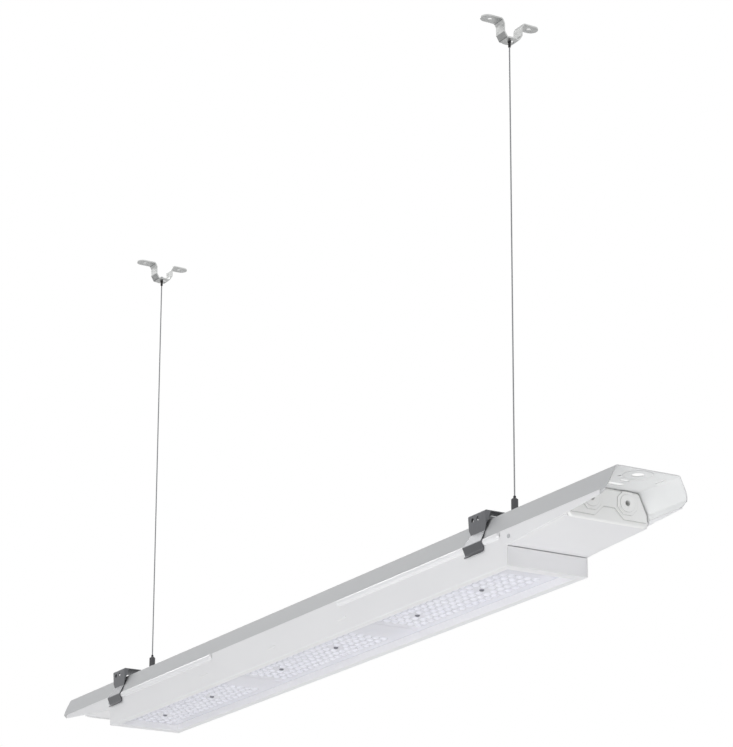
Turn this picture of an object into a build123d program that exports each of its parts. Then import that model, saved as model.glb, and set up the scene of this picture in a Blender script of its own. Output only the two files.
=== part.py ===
from build123d import *
import math
import os

os.makedirs("parts", exist_ok=True)

# Linear LED light hung on two wires. Millimetres, X along the light towards its near end, Z up.
# The origin is on the ceiling, in the middle of the four screw holes of the ceiling brackets.

# Suspension: spacing of the two wires, and the drop from the ceiling to the top of the rail
suspension_spacing = 1020
hang_height = 679
wire_diameter = 1.8

# Trunking rail: a hat section folded from steel sheet, flared towards the bottom
rail_length = 1500
rail_offset = 40
rail_sheet = 1.0
web_width = 90
shoulder_width = 116.8
shoulder_depth = 28.4
rail_bend = 3.5
lip_height = 5
lip_root = 1.5
rail_corner_radius = 18

# Holes in the rail's web, measured from each end of the rail
knockout_setback = 20.5
knockout_hole = 15
knockout_ring = 37
ring_width = 1.4
ring_height = 0.5
pilot_setback = 47
pilot_length = 12
pilot_width = 6.5
cable_slot_setback = 63
cable_slot_side = -3.2
cable_slot_length = 25
cable_slot_width = 8.5
earth_hole = 3.6
earth_hole_setback = 33
earth_hole_side = -17
edge_slot_setback = 29
edge_slot_length = 18
edge_slot_width = 3.2
edge_slot_side = 38.5

# Tray body: side walls, tapered wings and bottom rim, folded from one sheet
body_sheet = 1.0
body_height = 74
box_length = 1112
box_offset = 25
wing_cutback = 15
wing_end_height = 5.6
wing_root_height = 20.1
rim_side = 10
rim_end = 15
fold_radius = 0.9

# Pressed beads that the clips hook under, and small pressed lances, on both side walls
bead_radius = 4.6
bead_drop = 33
bead_sheet = 0.9
near_bead_start = 169
near_bead_end = 566
far_bead_start = -526
far_bead_end = -192
lance_places = (-217, -15, 182)
lance_length = 22
lance_width = 2.8
lance_height = 0.8
lance_rise = 18.5

# Inside the box: gear plate, boards, LED packages, lens plates, all measured up from the rim's underside
sheet_gap = 0.1
gear_plate_rise = 15
gear_plate_sheet = 1.2
gear_flange = 14
board_sheet = 1.5
board_width = 96
package_size = 3.5
package_height = 0.8
lens_plate_rise = 10
lens_plate_sheet = 2.0
lens_plate_width = 108
plate_gap = 1.0
plate_end_gap = 1.6

# Lens field of one plate: rows along the light, each lens a blunt moulded pyramid
lens_columns = 18
lens_rows = 6
lens_pitch_x = 15.5
lens_pitch_y = 12
lens_size_x = 12.5
lens_size_y = 10
lens_height = 3
lens_taper = 32
field_setback = 15
screw_columns = (3, 13)

# Lens plate screws: pan head and shank, through the plate, the board and the gear plate
screw_shank = 3.0
screw_clearance = 0.2
screw_head = 6.4
screw_head_height = 1.8
screw_boss = 9
screw_tail = 3

# Sloped end panels of the tray and the moulded end caps that close it
cap_face_setback = 80
panel_sheet = 1.0
panel_gap = 0.8
panel_flange = 13
panel_end_drop = 42
panel_side_gap = 0.1
cap_wall = 4
cap_lip = 0.8
cap_skirt = 14
cap_skirt_wall = 2.4
cap_clearance = 0.3
cap_corner = 5
cap_foot_corner = 7
cap_rounding = 2.4
cap_border = 3.4
cap_border_foot = 2
boss_side = 25.5
boss_drop = 17
boss_pad = 28
boss_pad_sides = 8
boss_pad_turn = 22.5
boss_pad_height = 2.4
boss_collar = 21
boss_height = 3.2
boss_hole = 7
boss_hole_depth = 10
arch_height = 1.4
arch_top = 24.5
arch_half_width = 8
arch_foot = 21
arch_foot_drop = 37

# Rivets that hold the panels in the side walls
rivet_head = 5.2
rivet_head_height = 0.9
rivet_shank = 3.2
rivet_tail = 1.5
rivet_from_box = 4
rivet_drop = 38.6

# Driver and terminal block on the gear plate
driver_length = 300
driver_width = 46
driver_height = 32
driver_corner = 3
driver_ear = 14
driver_ear_sheet = 2
driver_centre = 110
driver_side = -28
gear_screw = 4
gear_screw_head = 7.5
gear_screw_head_height = 2.4
terminal_centre = 420
terminal_side = 28
terminal_seat = 4
terminal_length = 62
terminal_width = 24
terminal_height = 20
terminal_ways = 5
terminal_funnel = 5
terminal_funnel_rise = 12
terminal_funnel_depth = 8

# Suspension clip: stainless strap over the rail, with legs that hook under the beads
clip_sheet = 1.2
clip_width = 44
clip_top_width = 41
clip_waist_width = 33
clip_waist_drop = 19.5
clip_taper_drop = 11
clip_rise = 7.6
clip_leg_side = 58
clip_leg_bottom = 19
clip_shelf_side = 65.4
clip_shelf_drop = 30.6
clip_hook_side = 60.2
clip_hook_drop = 40.1
clip_tip_side = 63.4
clip_tip_drop = 43.6
clip_bend = 1.6
gusset_depth = 7
gusset_drop = 10
clip_hole = 5.6
clip_hole_drop = 1.4
clip_hole_places = (-10, 2.6)
clip_slot_side = 33
clip_slot_length = 12
clip_slot_width = 5
clip_stud_hole = 6.4

# Wire gripper on the clip: turned body, spring plunger, threaded stud with a nut
gripper_diameter = 9
gripper_body = 25.4
gripper_shoulder = 2.3
gripper_neck = 4
stud_diameter = 6
stud_length = 6.6
nut_flats = 10
nut_sides = 6
thread_clearance = 0.05
nut_height = 5
plunger_diameter = 3.6
plunger_height = 2.6
plunger_chamfer = 0.5
wire_clearance = 0.3
wire_depth = 25

# Wire ends at the ceiling: ferrule below the saddle, stop above it
ferrule_diameter = 3.6
ferrule_length = 8
ferrule_collar = 4.8
ferrule_collar_height = 1.4
stop_diameter = 5.6
stop_height = 5
stop_rounding = 1.8

# Ceiling bracket: strap with two ears and a saddle between them
strap_sheet = 1.8
strap_width = 19
saddle_width = 22
ear_reach = 43
ear_hole_side = 30
ear_hole = 6.4
ear_bend_side = 17
knee_side = 14.4
knee_drop = 7
heel_drop = 18
saddle_side = 9.5
bracket_height = 26
strap_bend = 2.2
keyhole_round = 8
keyhole_offset = 4.4
keyhole_neck = 2.6

# Places worked out from the sizes above
rail_top = -hang_height
rail_near = rail_offset + rail_length / 2
rail_far = rail_offset - rail_length / 2
box_near = box_offset + box_length / 2
box_far = box_offset - box_length / 2
body_bottom = rail_top - body_height
body_side = shoulder_width / 2
inner_side = body_side - body_sheet
shoulder_z = rail_top - shoulder_depth
wing_root_z = shoulder_z - wing_root_height
wing_near = rail_near - wing_cutback
wing_far = rail_far + wing_cutback
cap_face_near = rail_near - cap_face_setback
cap_face_far = rail_far + cap_face_setback
gear_plate_z = body_bottom + gear_plate_rise
gear_top_z = gear_plate_z + gear_plate_sheet
lens_z = body_bottom + lens_plate_rise
lens_top_z = lens_z + lens_plate_sheet
opening_near = box_near - rim_end
opening_far = box_far + rim_end
plate_pitch = (box_length - 2 * (body_sheet + plate_end_gap)) / 3
plate_length = plate_pitch - plate_gap
field_length = (lens_columns - 1) * lens_pitch_x + lens_size_x
strap_z = rail_top + clip_rise
saddle_z = -bracket_height
wire_bottom = strap_z + clip_sheet + gripper_body - wire_depth + gripper_shoulder
wire_top = saddle_z + strap_sheet + stop_height


def folded_sheet(points, thickness, bend, start, length):
    """A sheet folded along X: the outer line of its section, thickened to its right."""
    with BuildPart() as sheet:
        with BuildSketch(Plane.YZ.offset(start)):
            with BuildLine():
                FilletPolyline(*points, radius=bend)
                offset(amount=thickness, side=Side.RIGHT)
            make_face()
        extrude(amount=length)
    return sheet.part


def plate_in_xz(points, y_low, thickness):
    """A flat plate that stands along X, drawn as (x, z) points, from y_low towards +Y."""
    with BuildPart() as plate:
        with BuildSketch(Plane.XZ.offset(-y_low)):
            Polygon(*points, align=None)
        extrude(amount=-thickness)
    return plate.part


def block(x_low, x_high, y_low, y_high, z_low, z_high):
    """A plain block between two corners."""
    size = (x_high - x_low, y_high - y_low, z_high - z_low)
    middle = ((x_high + x_low) / 2, (y_high + y_low) / 2, (z_high + z_low) / 2)
    return Pos(*middle) * Box(*size)


def rod(diameter, z_low, z_high, x=0, y=0):
    """An upright cylinder between two heights."""
    return Pos(x, y, (z_low + z_high) / 2) * Cylinder(diameter / 2, z_high - z_low)


def cross_pin(diameter, y_start, y_end, x, z):
    """A cylinder along Y."""
    return Pos(x, (y_start + y_end) / 2, z) * Rot(90, 0, 0) * Cylinder(diameter / 2, abs(y_end - y_start))


def upright_slot(length, width, z_low, z_high, x, y, turn=0):
    """A round-ended slot through a level sheet, its length along X before the turn."""
    with BuildPart() as cutter:
        with BuildSketch(Plane.XY.offset(z_low)):
            with Locations(Location((x, y, 0), (0, 0, turn))):
                SlotOverall(length, width)
        extrude(amount=z_high - z_low)
    return cutter.part


def make_rail():
    """Hat section with holes in its web, short lips inside the tray body and rounded lower corners."""
    half_web = web_width / 2
    run = (body_side - half_web) / shoulder_depth
    below = rail_sheet
    low = (body_side + run * below, shoulder_z - below)
    points = [(-low[0], low[1]), (-half_web, rail_top), (half_web, rail_top), low]
    rail = folded_sheet(points, rail_sheet, rail_bend, rail_far, rail_length)
    rail -= block(rail_far, rail_near, -web_width, web_width, shoulder_z - 3 * below, shoulder_z)
    lip_outer = inner_side - sheet_gap
    for side in (-1, 1):
        edges = sorted((side * lip_outer, side * (lip_outer - rail_sheet)))
        rail += block(rail_far, rail_near, *edges, shoulder_z - lip_height, shoulder_z + lip_root)
    underside = rail_top - rail_sheet
    for end, inward in ((rail_near, -1), (rail_far, 1)):
        hole_x = end + inward * knockout_setback
        ring = rod(knockout_ring, underside - ring_height, underside, hole_x)
        ring -= rod(knockout_ring - 2 * ring_width, underside - ring_height, underside, hole_x)
        rail += ring
        rail -= rod(knockout_hole, underside, rail_top, hole_x)
        pilot_x = end + inward * pilot_setback
        rail -= upright_slot(pilot_length, pilot_width, underside, rail_top, pilot_x, 0, 90)
        slot_x = end + inward * cable_slot_setback
        rail -= upright_slot(
            cable_slot_length, cable_slot_width, underside, rail_top, slot_x, cable_slot_side, 90
        )
        rail -= rod(earth_hole, underside, rail_top, end + inward * earth_hole_setback, earth_hole_side)
        edge_x = end + inward * edge_slot_setback
        for side in (-1, 1):
            edge_y = side * edge_slot_side
            rail -= upright_slot(edge_slot_length, edge_slot_width, underside, rail_top, edge_x, edge_y)
        rail -= corner_cutter(end, inward)
    return rail


def corner_cutter(end, inward):
    """What a rounded lower corner takes off both walls at one end of the rail."""
    radius = rail_corner_radius
    low = shoulder_z - lip_height
    edges = sorted((end, end + inward * radius))
    cutter = block(*edges, -web_width, web_width, low, low + radius)
    round_end = Pos(end + inward * radius, 0, low + radius) * Rot(90, 0, 0) * Cylinder(radius, 2 * web_width)
    return cutter - round_end


def make_tray_body():
    """Both side walls with wings, beads and lances, and the rim round the light opening."""
    outline = [
        (wing_far, shoulder_z),
        (wing_near, shoulder_z),
        (wing_near, shoulder_z - wing_end_height),
        (box_near, wing_root_z),
        (box_near, body_bottom),
        (box_far, body_bottom),
        (box_far, wing_root_z),
        (wing_far, shoulder_z - wing_end_height),
    ]
    body = plate_in_xz(outline, -body_side, body_sheet)
    body += plate_in_xz(outline, inner_side, body_sheet)
    rim = block(box_far, box_near, -body_side, body_side, body_bottom, body_bottom + body_sheet)
    opening_side = body_side - rim_side
    rim += block(
        opening_far - body_sheet, opening_near + body_sheet,
        -opening_side - body_sheet, opening_side + body_sheet, body_bottom, lens_z,
    )
    rim -= block(opening_far, opening_near, -opening_side, opening_side, body_bottom, lens_z)
    body += rim
    folds = body.edges().group_by(Axis.Z)[0].filter_by(on_outline)
    body = fillet(folds, fold_radius)
    bead_z = rail_top - bead_drop
    for side in (-1, 1):
        for start, end in ((near_bead_start, near_bead_end), (far_bead_start, far_bead_end)):
            body += bead(start, end, side * inner_side, bead_z, bead_radius)
            body -= bead(start, end, side * inner_side, bead_z, bead_radius - bead_sheet)
        body -= inside_trim(side, bead_z)
        for place in lance_places:
            body += lance(place, side)
        for x in rivet_places():
            body -= cross_pin(rivet_shank, side * inner_side, side * body_side, x, rail_top - rivet_drop)
    return body


def on_outline(edge):
    """Whether a bottom edge of the box lies on its outside and not round the light opening."""
    middle = edge.center()
    past_side = abs(middle.Y) > body_side - fold_radius
    return past_side or middle.X > box_near - fold_radius or middle.X < box_far + fold_radius


def bead(start, end, y, z, radius):
    """A pressed bead as a round bar with ball ends, half sunk in the wall."""
    first = start + radius
    last = end - radius
    bar = Pos((first + last) / 2, y, z) * Rot(0, 90, 0) * Cylinder(radius, last - first)
    return bar + Pos(first, y, z) * Sphere(radius) + Pos(last, y, z) * Sphere(radius)


def inside_trim(side, bead_z):
    """Clears what a bead's bar leaves inside the wall, so that the bead is open to the inside."""
    edges = sorted((side * inner_side, side * (inner_side - 2 * bead_radius)))
    return block(far_bead_start, near_bead_end, *edges, bead_z - bead_radius, bead_z + bead_radius)


def lance(place, side):
    """A short pressed rib on the outside of a side wall."""
    z = body_bottom + lance_rise
    with BuildPart() as rib:
        with BuildSketch(Plane.XZ.offset(-side * body_side)):
            with Locations((place, z)):
                SlotOverall(lance_length, lance_width)
        extrude(amount=-side * lance_height)
    return rib.part


def rivet_places():
    """Rivet positions along X, just past both ends of the box."""
    return (box_near + rivet_from_box, box_far - rivet_from_box)


def make_box_end(wall_x, inward):
    """Upright plate that closes one end of the box, with a tongue under each side of the gear plate."""
    side = inner_side - sheet_gap
    edges = sorted((wall_x, wall_x + inward * body_sheet))
    plate = block(*edges, -side, side, body_bottom + body_sheet, wing_root_z - panel_gap)
    tongue_edges = sorted((wall_x, wall_x + inward * gear_flange))
    for hand in (-1, 1):
        sides = sorted((hand * side, hand * (board_width / 2 + plate_gap)))
        plate += block(*tongue_edges, *sides, gear_plate_z - body_sheet, gear_plate_z)
    return plate


def panel_height(x, box_end, cap_face):
    """Height of a sloped panel's underside at a place along X."""
    share = (x - box_end) / (cap_face - box_end)
    return wing_root_z + share * (rail_top - panel_end_drop - wing_root_z)


def make_end_panel(box_end, cap_face, outward):
    """Sloped panel from the box's end up to the end cap, with upturned flanges and rounded end corners."""
    start = box_end - outward * body_sheet
    end = cap_face - outward * cap_wall
    low_start = panel_height(start, box_end, cap_face)
    low_end = panel_height(end, box_end, cap_face)
    side = inner_side - panel_side_gap
    low = [(start, low_start), (end, low_end)]
    strip = low + [(x, z + panel_sheet) for x, z in reversed(low)]
    tall = low + [(x, z + panel_flange) for x, z in reversed(low)]
    panel = plate_in_xz(strip, -side, 2 * side)
    panel += plate_in_xz(trim_tall(tall), -side, panel_sheet)
    panel += plate_in_xz(trim_tall(tall), side - panel_sheet, panel_sheet)
    corners = panel.edges().filter_by(Axis.Z).sort_by(Axis.X)
    outer = corners[-4:] if outward > 0 else corners[:4]
    panel = fillet([edge for edge in outer if abs(edge.center().Y) > side - panel_sheet / 2], panel_sheet / 2)
    x = box_end + outward * rivet_from_box
    z = rail_top - rivet_drop
    return panel - cross_pin(rivet_shank, -side, side, x, z)


def trim_tall(points):
    """Keeps a flange below the rail's lip."""
    highest = shoulder_z - lip_height - sheet_gap
    return [(x, min(z, highest)) for x, z in points]


def cap_points(clearance, foot_z):
    """Closed outline of an end cap inside the rail's walls, as (y, z) points with a clearance all round."""
    half_web = web_width / 2
    run = (body_side - half_web) / shoulder_depth
    wall = math.hypot(1, run) * (rail_sheet + clearance)
    top = rail_top - rail_sheet - clearance
    knee = shoulder_z + rail_sheet
    foot_y = inner_side - sheet_gap - rail_sheet - clearance
    wide_y = inner_side - clearance
    lip_z = shoulder_z - lip_height
    right = [
        (half_web + run * (rail_top - top) - wall, top),
        (foot_y, knee),
        (foot_y, lip_z),
        (wide_y, lip_z - (wide_y - foot_y) - clearance),
        (wide_y, foot_z),
    ]
    return right + [(-y, z) for y, z in reversed(right)]


def make_end_cap():
    """Near end cap: rounded moulded face with an arch, two octagonal bosses and a skirt behind it."""
    face_x = cap_face_near
    back_x = face_x - cap_wall
    panel_z = panel_height(back_x, box_near, cap_face_near)
    foot_z = panel_z - cap_lip
    seat_z = panel_z + panel_sheet + cap_clearance
    boss_z = rail_top - boss_drop
    skirt_clearance = cap_clearance + panel_side_gap + panel_sheet
    with BuildPart() as cap:
        with BuildSketch(Plane.YZ.offset(back_x)) as outline:
            Polygon(*cap_points(cap_clearance, foot_z), align=None)
            fillet(outline.vertices().group_by(Axis.Y)[0], cap_foot_corner)
            fillet(outline.vertices().group_by(Axis.Y)[-1], cap_corner)
        extrude(amount=cap_wall)
        fillet(cap.faces().sort_by(Axis.X)[-1].edges(), cap_rounding)
        with BuildSketch(Plane.YZ.offset(face_x - cap_skirt)):
            Polygon(*cap_points(skirt_clearance, seat_z), align=None)
            hollow = cap_points(skirt_clearance + cap_skirt_wall, seat_z + cap_skirt_wall)
            Polygon(*hollow, align=None, mode=Mode.SUBTRACT)
        extrude(amount=cap_skirt - cap_wall)
        with BuildSketch(Plane.YZ.offset(face_x)):
            Polygon(*cap_points(cap_clearance + cap_border, foot_z + cap_border_foot), align=None)
            Polygon(*arch_points(foot_z), align=None, mode=Mode.SUBTRACT)
        extrude(amount=arch_height)
        with BuildSketch(Plane.YZ.offset(face_x)):
            with Locations((-boss_side, boss_z), (boss_side, boss_z)):
                RegularPolygon(boss_pad / 2, boss_pad_sides, major_radius=False, rotation=boss_pad_turn)
        extrude(amount=boss_pad_height)
        with BuildSketch(Plane.YZ.offset(face_x)):
            with Locations((-boss_side, boss_z), (boss_side, boss_z)):
                Circle(boss_collar / 2)
        extrude(amount=boss_height)
        with BuildSketch(Plane.YZ.offset(back_x)):
            with Locations((-boss_side, boss_z), (boss_side, boss_z)):
                Circle(boss_hole)
        extrude(amount=-boss_hole_depth)
        with BuildSketch(Plane.YZ.offset(face_x + boss_height)):
            with Locations((-boss_side, boss_z), (boss_side, boss_z)):
                Circle(boss_hole / 2)
        extrude(amount=-boss_hole_depth, mode=Mode.SUBTRACT)
    return cap.part


def arch_points(foot_z):
    """The arch-shaped field between the bosses that lies back from the rest of the face."""
    top = rail_top - arch_top
    foot = rail_top - arch_foot_drop
    half = [(arch_half_width, top), (arch_foot, foot), (body_side, foot), (body_side, foot_z)]
    return half + [(-y, z) for y, z in reversed(half)]


def make_lens_plate(centre_x):
    """Clear moulded plate with a field of lenses below it and two screw bosses above it."""
    start = centre_x - plate_length / 2
    half = lens_plate_width / 2
    plate = block(start, start + plate_length, -half, half, lens_z, lens_top_z)
    with BuildPart() as lenses:
        with BuildSketch(Plane.XY.offset(lens_z)):
            with Locations(*lens_places(centre_x)):
                Rectangle(lens_size_x, lens_size_y)
        extrude(amount=-lens_height, taper=lens_taper)
    plate = plate + lenses.part
    for x in screw_places(centre_x):
        plate += rod(screw_boss, lens_top_z, gear_plate_z - board_sheet, x)
    for x in screw_places(centre_x):
        plate -= rod(screw_shank + 2 * screw_clearance, lens_z, gear_plate_z - board_sheet, x)
    return plate


def screw_places(centre_x):
    """Screw positions of one lens plate along X, on the light's middle line."""
    first_x = centre_x - plate_length / 2 + field_setback + lens_size_x / 2
    return [first_x + column * lens_pitch_x for column in screw_columns]


def lens_places(centre_x):
    """Centres of all the lenses of one plate."""
    first_x = centre_x - plate_length / 2 + field_setback + lens_size_x / 2
    first_y = -(lens_rows - 1) * lens_pitch_y / 2
    middle_rows = (lens_rows // 2 - 1, lens_rows // 2)
    places = []
    for column in range(lens_columns):
        for row in range(lens_rows):
            if column in screw_columns and row in middle_rows:
                continue
            places.append((first_x + column * lens_pitch_x, first_y + row * lens_pitch_y))
    return places


def make_board(centre_x):
    """White printed board, face to face with the gear plate."""
    half = board_width / 2
    start = centre_x - plate_length / 2 + field_setback / 2
    end = start + field_length + field_setback
    board = block(start, end, -half, half, gear_plate_z - board_sheet, gear_plate_z)
    for x in screw_places(centre_x):
        board -= rod(screw_shank + 2 * screw_clearance, gear_plate_z - board_sheet, gear_plate_z, x)
    return board


def make_packages(centre_x):
    """One LED package under the board for each lens."""
    top = gear_plate_z - board_sheet
    with BuildPart() as packages:
        with BuildSketch(Plane.XY.offset(top)):
            with Locations(*lens_places(centre_x)):
                Rectangle(package_size, package_size)
        extrude(amount=-package_height)
    return packages.part


def make_screws(centres):
    """Pan-head screws through the lens plates, boards and gear plate, as separate solids."""
    screws = []
    for centre_x in centres:
        for x in screw_places(centre_x):
            head = rod(screw_head, lens_z - screw_head_height, lens_z, x)
            shank = rod(screw_shank, lens_z, gear_top_z + screw_tail, x)
            screws.append(head + shank)
    return Compound(children=[screw.solid() for screw in screws])


def make_gear_plate(centres):
    """Plate across the box with upturned flanges; boards below it, driver and terminals above."""
    near = box_near - body_sheet - sheet_gap
    far = box_far + body_sheet + sheet_gap
    side = inner_side - sheet_gap
    plate = block(far, near, -side, side, gear_plate_z, gear_top_z)
    for sign in (-1, 1):
        edges = sorted((sign * side, sign * (side - gear_plate_sheet)))
        plate += block(far, near, *edges, gear_plate_z, gear_plate_z + gear_flange)
    for centre_x in centres:
        for x in screw_places(centre_x):
            plate -= rod(screw_shank + 2 * screw_clearance, gear_plate_z, gear_top_z, x)
    for x, y, seat in gear_screw_places():
        plate -= rod(gear_screw, gear_plate_z, gear_top_z, x, y)
    return plate


def gear_screw_places():
    """Screws through the driver's ears and the terminal block's ends: x, y and seat height."""
    driver_reach = driver_length / 2 + driver_ear / 2
    terminal_reach = terminal_length / 2 - terminal_seat
    driver_seat = gear_top_z + driver_ear_sheet
    block_seat = gear_top_z + terminal_seat
    return (
        (driver_centre - driver_reach, driver_side, driver_seat),
        (driver_centre + driver_reach, driver_side, driver_seat),
        (terminal_centre - terminal_reach, terminal_side, block_seat),
        (terminal_centre + terminal_reach, terminal_side, block_seat),
    )


def make_driver():
    """Sealed driver case with a fixing ear at each end, beside the row of lens screws."""
    half_length = driver_length / 2
    near_side = driver_side - driver_width / 2
    case = block(
        driver_centre - half_length, driver_centre + half_length, near_side, near_side + driver_width,
        gear_top_z, gear_top_z + driver_height,
    )
    case = fillet(case.edges().filter_by(Axis.X).group_by(Axis.Z)[-1], driver_corner)
    reach = half_length + driver_ear
    ear_side = driver_side - driver_width / 4
    case += block(
        driver_centre - reach, driver_centre + reach, ear_side, ear_side + driver_width / 2,
        gear_top_z, gear_top_z + driver_ear_sheet,
    )
    for x, y, seat in gear_screw_places()[:2]:
        case -= rod(gear_screw, gear_top_z, seat, x, y)
    return case


def make_terminal_block():
    """Push-in terminal block with a row of wire funnels in each long face and low fixing ends."""
    half_length = terminal_length / 2
    low_side = terminal_side - terminal_width / 2
    high_side = terminal_side + terminal_width / 2
    top = gear_top_z + terminal_height
    body = block(
        terminal_centre - half_length, terminal_centre + half_length, low_side, high_side,
        gear_top_z, top,
    )
    for hand in (-1, 1):
        end = terminal_centre + hand * half_length
        edges = sorted((end, end - 2 * hand * terminal_seat))
        body -= block(*edges, low_side, high_side, gear_top_z + terminal_seat, top)
    pitch = (terminal_length - 4 * terminal_seat) / terminal_ways
    funnel_z = gear_top_z + terminal_funnel_rise
    for way in range(terminal_ways):
        x = terminal_centre + (way - (terminal_ways - 1) / 2) * pitch
        body -= cross_pin(terminal_funnel, high_side, high_side - terminal_funnel_depth, x, funnel_z)
        body -= cross_pin(terminal_funnel, low_side, low_side + terminal_funnel_depth, x, funnel_z)
    for x, y, seat in gear_screw_places()[2:]:
        body -= rod(gear_screw, gear_top_z, seat, x, y)
    return body


def make_gear_screws():
    """Screws of the driver and the terminal block, as separate solids."""
    screws = []
    for x, y, seat in gear_screw_places():
        head = rod(gear_screw_head, seat, seat + gear_screw_head_height, x, y)
        shank = rod(gear_screw - screw_clearance, gear_plate_z, seat, x, y)
        screws.append((head + shank).solid())
    return Compound(children=screws)


def make_rivets():
    """Blind rivets through the side walls and the panels' flanges, as separate solids."""
    z = rail_top - rivet_drop
    tail = inner_side - panel_side_gap - panel_sheet
    rivets = []
    for x in rivet_places():
        for side in (-1, 1):
            head = cross_pin(rivet_head, side * body_side, side * (body_side + rivet_head_height), x, z)
            shank = cross_pin(rivet_shank, side * body_side, side * (tail - rivet_tail), x, z)
            rivets.append((head + shank).solid())
    return Compound(children=rivets)


def make_clip(x):
    """Stainless strap over the rail with gusseted legs, hooked under the beads on both sides."""
    top = strap_z + clip_sheet
    half = [
        (clip_tip_side, rail_top - clip_tip_drop),
        (clip_hook_side, rail_top - clip_hook_drop),
        (clip_shelf_side, rail_top - clip_shelf_drop),
        (clip_leg_side, rail_top - clip_leg_bottom),
        (clip_leg_side, top),
    ]
    left = [(-y, z) for y, z in half]
    clip = folded_sheet(left + list(reversed(half)), clip_sheet, clip_bend, x - clip_width / 2, clip_width)
    clip = clip & clip_blank(x)
    for side in (-1, 1):
        inner = clip_leg_side - clip_sheet
        gusset = [
            (side * inner, strap_z),
            (side * (inner - gusset_depth), strap_z),
            (side * inner, rail_top - gusset_drop),
        ]
        for edge in (-1, 1):
            plane_x = x + edge * (clip_top_width / 2 - clip_sheet / 2) - clip_sheet / 2
            with BuildPart() as web:
                with BuildSketch(Plane.YZ.offset(plane_x)):
                    Polygon(*gusset, align=None)
                extrude(amount=clip_sheet)
            clip += web.part
        for place in clip_hole_places:
            outer = side * clip_leg_side
            through = outer - 2 * side * clip_sheet
            clip -= cross_pin(clip_hole, outer, through, x + place, rail_top + clip_hole_drop)
        clip -= upright_slot(
            clip_slot_length, clip_slot_width, strap_z, top, x, side * clip_slot_side, 90
        )
    return clip - rod(clip_stud_hole, strap_z, top, x)


def clip_blank(x):
    """The clip's outline seen from the side: straight, waisted below the gussets, wide at the hooks."""
    half = [
        (clip_top_width / 2, strap_z + 2 * clip_sheet),
        (clip_top_width / 2, rail_top - clip_taper_drop),
        (clip_waist_width / 2, rail_top - clip_waist_drop),
        (clip_width / 2, rail_top - clip_shelf_drop),
        (clip_width / 2, rail_top - clip_tip_drop - 2 * clip_sheet),
    ]
    points = [(x + reach, z) for reach, z in half] + [(x - reach, z) for reach, z in reversed(half)]
    return plate_in_xz(points, -2 * clip_leg_side, 4 * clip_leg_side)


def make_gripper(x):
    """Turned gripper body: shoulder at the top, threaded stud through the strap below."""
    low = strap_z + clip_sheet
    body = rod(gripper_diameter, low, low + gripper_body, x)
    neck = Pos(x, 0, low + gripper_body + gripper_shoulder / 2)
    body += neck * Cone(gripper_diameter / 2, gripper_neck / 2, gripper_shoulder)
    body += rod(stud_diameter, low - stud_length, low, x)
    top = low + gripper_body + gripper_shoulder
    return body - rod(wire_diameter + 2 * wire_clearance, low - stud_length, top, x)


def make_nut(x):
    """Lock nut under the strap."""
    with BuildPart() as nut:
        with BuildSketch(Plane.XY.offset(strap_z - nut_height)):
            with Locations((x, 0)):
                RegularPolygon(nut_flats / 2, nut_sides, major_radius=False)
                Circle(stud_diameter / 2 + thread_clearance, mode=Mode.SUBTRACT)
        extrude(amount=nut_height)
    return nut.part


def make_plunger(x):
    """Spring plunger on top of the gripper, pressed to free the wire."""
    low = strap_z + clip_sheet + gripper_body + gripper_shoulder
    plunger = rod(plunger_diameter, low, low + plunger_height, x)
    plunger = chamfer(plunger.edges().group_by(Axis.Z)[-1], plunger_chamfer)
    return plunger - rod(wire_diameter + 2 * wire_clearance, low, low + plunger_height, x)


def make_wire(x):
    """Straight steel wire from its stop in the saddle down into the gripper."""
    return rod(wire_diameter, wire_bottom, wire_top, x)


def make_ferrule(x):
    """Black ferrule on the wire, right below the saddle."""
    collar_z = saddle_z - ferrule_collar_height
    ferrule = rod(ferrule_diameter, saddle_z - ferrule_length, saddle_z, x)
    ferrule += rod(ferrule_collar, collar_z, saddle_z, x)
    return ferrule - rod(wire_diameter, saddle_z - ferrule_length, saddle_z, x)


def make_stop(x):
    """Domed stop pressed on the wire's end, too wide for the keyhole's neck."""
    low = saddle_z + strap_sheet
    stop = rod(stop_diameter, low, low + stop_height, x)
    stop = fillet(stop.edges().group_by(Axis.Z)[-1], stop_rounding)
    return stop - rod(wire_diameter, low, low + stop_height, x)


def make_ceiling_bracket(x):
    """Steel strap bent to a saddle between two ears, with a keyhole for the wire's stop."""
    half = [
        (saddle_side, saddle_z),
        (knee_side, -heel_drop),
        (knee_side, -knee_drop),
        (ear_bend_side, -strap_sheet),
        (ear_reach, -strap_sheet),
    ]
    left = [(-y, z) for y, z in reversed(half)]
    with BuildPart() as strap:
        with BuildSketch(Plane.YZ.offset(x - saddle_width / 2)):
            with BuildLine():
                FilletPolyline(*(left + half), radius=strap_bend)
                offset(amount=strap_sheet, side=Side.LEFT)
            make_face()
        extrude(amount=saddle_width)
        with BuildSketch(Plane.XY.offset(saddle_z - bracket_height)):
            with Locations((x, 0)):
                SlotOverall(2 * ear_reach, strap_width, rotation=90)
                Circle(saddle_width / 2)
        extrude(amount=3 * bracket_height, mode=Mode.INTERSECT)
    bracket = strap.part
    for side in (-1, 1):
        bracket -= rod(ear_hole, -2 * strap_sheet, 0, x, side * ear_hole_side)
    bracket -= rod(keyhole_round, saddle_z, saddle_z + strap_sheet, x, keyhole_offset)
    neck_far = keyhole_offset
    neck = block(x - keyhole_neck / 2, x + keyhole_neck / 2, 0, neck_far, saddle_z, saddle_z + strap_sheet)
    bracket -= neck
    return bracket - rod(keyhole_neck, saddle_z, saddle_z + strap_sheet, x)


def plate_centres():
    """Centres of the three lens plates along X."""
    first = box_far + body_sheet + plate_end_gap + plate_pitch / 2
    return [first + index * plate_pitch for index in range(3)]


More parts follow.
